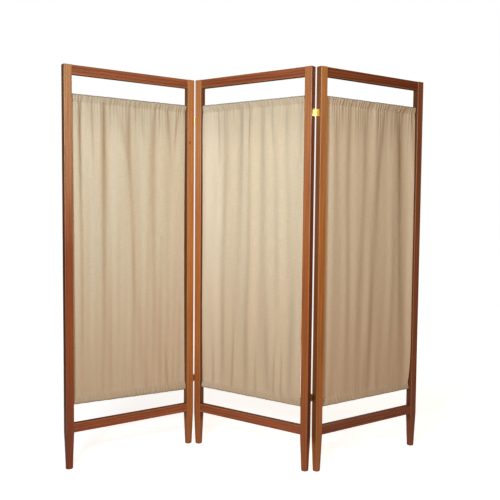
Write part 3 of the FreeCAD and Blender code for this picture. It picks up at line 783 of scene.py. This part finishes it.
def brass(name, turn, roughness, tarnish_and_shade, bright, dulled):
    """Drawn brass: fine scratches, which are noise drawn out upwards, and clouds of tarnish."""
    made, tree, output = material(name)
    local = add(tree, "Mapping", {0: add(tree, "TexCoord").outputs["Object"],
                                  "Rotation": (0, 0, -turn)}).outputs[0]
    cloud = add(tree, "TexNoise", {"Vector": local, "Scale": TARNISH_CLOUDS,
                                   "Detail": 4}).outputs[0]
    dull = add(tree, "MapRange", {0: cloud, 1: 0.4, 2: 0.72, 3: 0.0, 4: tarnish_and_shade}).outputs[0]
    body = add(tree, "Mix", {0: dull, 6: colour(bright), 7: colour(dulled)},
               data_type="RGBA").outputs[2]
    scratch_at = add(tree, "Mapping", {0: local, "Scale": SCRATCHES}).outputs[0]
    scratch = add(tree, "TexNoise", {"Vector": scratch_at, "Scale": 1, "Detail": 2}).outputs[0]
    gloss = add(tree, "MapRange", {0: cloud, 1: 0.3, 2: 0.7,
                                   3: roughness, 4: roughness + 0.18}).outputs[0]
    bump = add(tree, "Bump", {"Height": scratch, "Strength": 0.15, "Distance": 0.0001}).outputs[0]
    surface = add(tree, "BsdfPrincipled", {"Base Color": body, "Metallic": 1.0,
                                           "Roughness": gloss, "Normal": bump})
    tree.links.new(surface.outputs[0], output.inputs["Surface"])
    return made


# Bright and dulled colour, and the share that is darkened: tarnish on all hinges, and on the
# lower ones painted shade as well, since they sit out of the light.
HINGE_BRASS_AND_SHADE = {"upper": ("#F7DE98", "#A77B3C", 0.45), "lower": ("#BC8C52", "#7A532E", 0.8)}
LEAF_ROUGHNESS, SCREW_ROUGHNESS = 0.30, 0.24

side_turn = panel_frame("left")[1]  # the right panel is turned by the same angle
middle_turn = panel_frame("middle")[1]
for level, (bright, dulled, tarnish_and_shade) in HINGE_BRASS_AND_SHADE.items():
    side_brass = brass(f"drawn_brass_{level}_side_leaves", side_turn, LEAF_ROUGHNESS,
                       tarnish_and_shade, bright, dulled)
    middle_brass = brass(f"drawn_brass_{level}_middle_leaves", middle_turn, LEAF_ROUGHNESS,
                         tarnish_and_shade + 0.1, bright, dulled)
    screw_brass = brass(f"turned_brass_{level}_screws", 0.0, SCREW_ROUGHNESS,
                        tarnish_and_shade, bright, dulled)
    for side in ("left", "right"):
        hinge = f"{side}_{level}_hinge"
        dress(f"{hinge}_side_leaf", side_brass)
        dress(f"{hinge}_middle_leaf", middle_brass)
        dress(f"{hinge}_pin", middle_brass)
        dress(f"{hinge}_side_screws", screw_brass)
        dress(f"{hinge}_middle_screws", screw_brass)


# ---------------------------------------------------------------- Studio
# A plain pale floor in a white studio. A cool softbox shines down from the left of the camera on
# the upper half. Warm ones fill from the front and the right, and one behind lights the back.
FLOOR_SIZE = 40.0
FLOOR_GLOW = (0.74, 1.0)   # near the screen and far from it, where the floor melts into the wall
GLOW_FROM, GLOW_TO = 0.9, 3.2  # from the screen's middle to where it starts and is full
ROOM_LIGHT = 0.03          # what the white walls give back, against the wall that is seen

corners = np.array([[[-1, -1, 0], [1, -1, 0]], [[-1, 1, 0], [1, 1, 0]]], float)
floor = grid_mesh("floor", corners * FLOOR_SIZE / 2)
pale_floor, tree, output = material("pale_studio_floor")
on_floor = add(tree, "TexCoord").outputs["Object"]
mottle = add(tree, "TexNoise", {"Vector": on_floor, "Scale": 3, "Detail": 3}).outputs[0]
mottle = add(tree, "Mix", {0: mottle, 6: colour("#EBE1D3"), 7: colour("#EFE6DA")},
             data_type="RGBA").outputs[2]
to_eye = add(tree, "LightPath").outputs["Is Camera Ray"]
away = add(tree, "VectorMath", {0: on_floor}, operation="LENGTH").outputs["Value"]
away = add(tree, "MapRange", {0: away, 1: GLOW_FROM, 2: GLOW_TO,
                              3: FLOOR_GLOW[0], 4: FLOOR_GLOW[1]},
           interpolation_type="SMOOTHSTEP").outputs[0]
glow = add(tree, "Math", {0: to_eye, 1: away}, operation="MULTIPLY").outputs[0]
matt = add(tree, "BsdfPrincipled", {"Base Color": mottle, "Roughness": 0.9,
                                    "Specular IOR Level": 0.1,
                                    "Emission Color": colour("#FFFFFF"),
                                    "Emission Strength": glow})
tree.links.new(matt.outputs[0], output.inputs["Surface"])
floor.data.materials.append(pale_floor)


def softbox(name, place, target, size, power, warmth, spread=math.pi):
    """A rectangular lamp at place that points at target, with its power in watts.

    warmth is the colour of its light, and spread is the angle its light fills.
    """
    lamp = bpy.data.lights.new(name, "AREA")
    lamp.shape = "RECTANGLE"
    lamp.size, lamp.size_y = size
    lamp.energy = power
    lamp.spread = spread
    lamp.color = colour(warmth)[:3]
    made = bpy.data.objects.new(name, lamp)
    made.location = place
    made.rotation_euler = (Vector(target) - Vector(place)).to_track_quat("-Z", "Y").to_euler()
    made.visible_camera = False
    scene.collection.objects.link(made)


softbox("key_softbox", (-0.80, -2.45, 1.6), (-0.05, 0, 1.3), (0.6, 0.7), 27, "#B5DAFF", 1.75)
softbox("front_softbox", (0, -2.6, 1.9), (0, 0, 1.2), (0.8, 0.8), 24, "#FFE6D2")
softbox("right_softbox", (1.8, -2.0, 1.7), (0, 0, 1.2), (0.8, 0.8), 9.8, "#FFEDDD")
softbox("back_softbox", (0.6, 2.3, 3.1), (0, 0, 0.9), (1.4, 1.4), 34, "#FFF6EA")

studio = bpy.data.worlds.new("studio")
studio.use_nodes = True
studio.node_tree.nodes.clear()
seen = add(studio.node_tree, "LightPath").outputs["Is Camera Ray"]
strength = add(studio.node_tree, "MapRange", {0: seen, 3: ROOM_LIGHT, 4: 1.0}).outputs[0]
white = add(studio.node_tree, "Background", {"Color": colour("#FFFFFF"), "Strength": strength})
end = add(studio.node_tree, "OutputWorld")
studio.node_tree.links.new(white.outputs[0], end.inputs[0])
scene.world = studio
